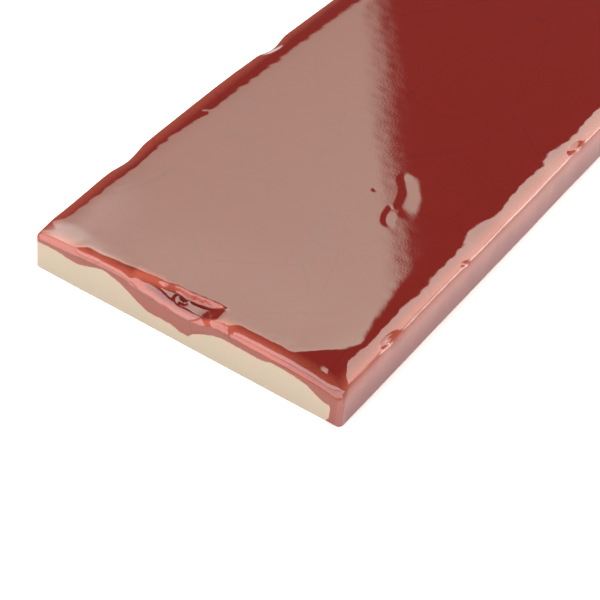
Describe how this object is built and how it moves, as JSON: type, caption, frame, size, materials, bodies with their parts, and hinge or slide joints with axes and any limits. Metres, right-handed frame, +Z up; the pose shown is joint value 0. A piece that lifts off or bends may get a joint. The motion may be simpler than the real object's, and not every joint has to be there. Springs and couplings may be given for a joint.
{
  "type": "subway tile",
  "caption": "Oblong hand-pressed wall tile with a flat back, gently wavy sides, a rolled rim with dents and a glossy glazed face and long side.",
  "frame": {"origin": "middle of the flat back, which the tile lies on", "axes": "+X across the tile towards the glazed long side, +Y along its length, +Z up out of the glazed face"},
  "size_m": [0.075, 0.15, 0.0106],
  "materials": {
    "glaze": "glossy deep red crackle glaze, thinner and more orange at the rim"
  },
  "bodies": {
    "root": {"tile": "glaze"}
  },
  "joints": []
}
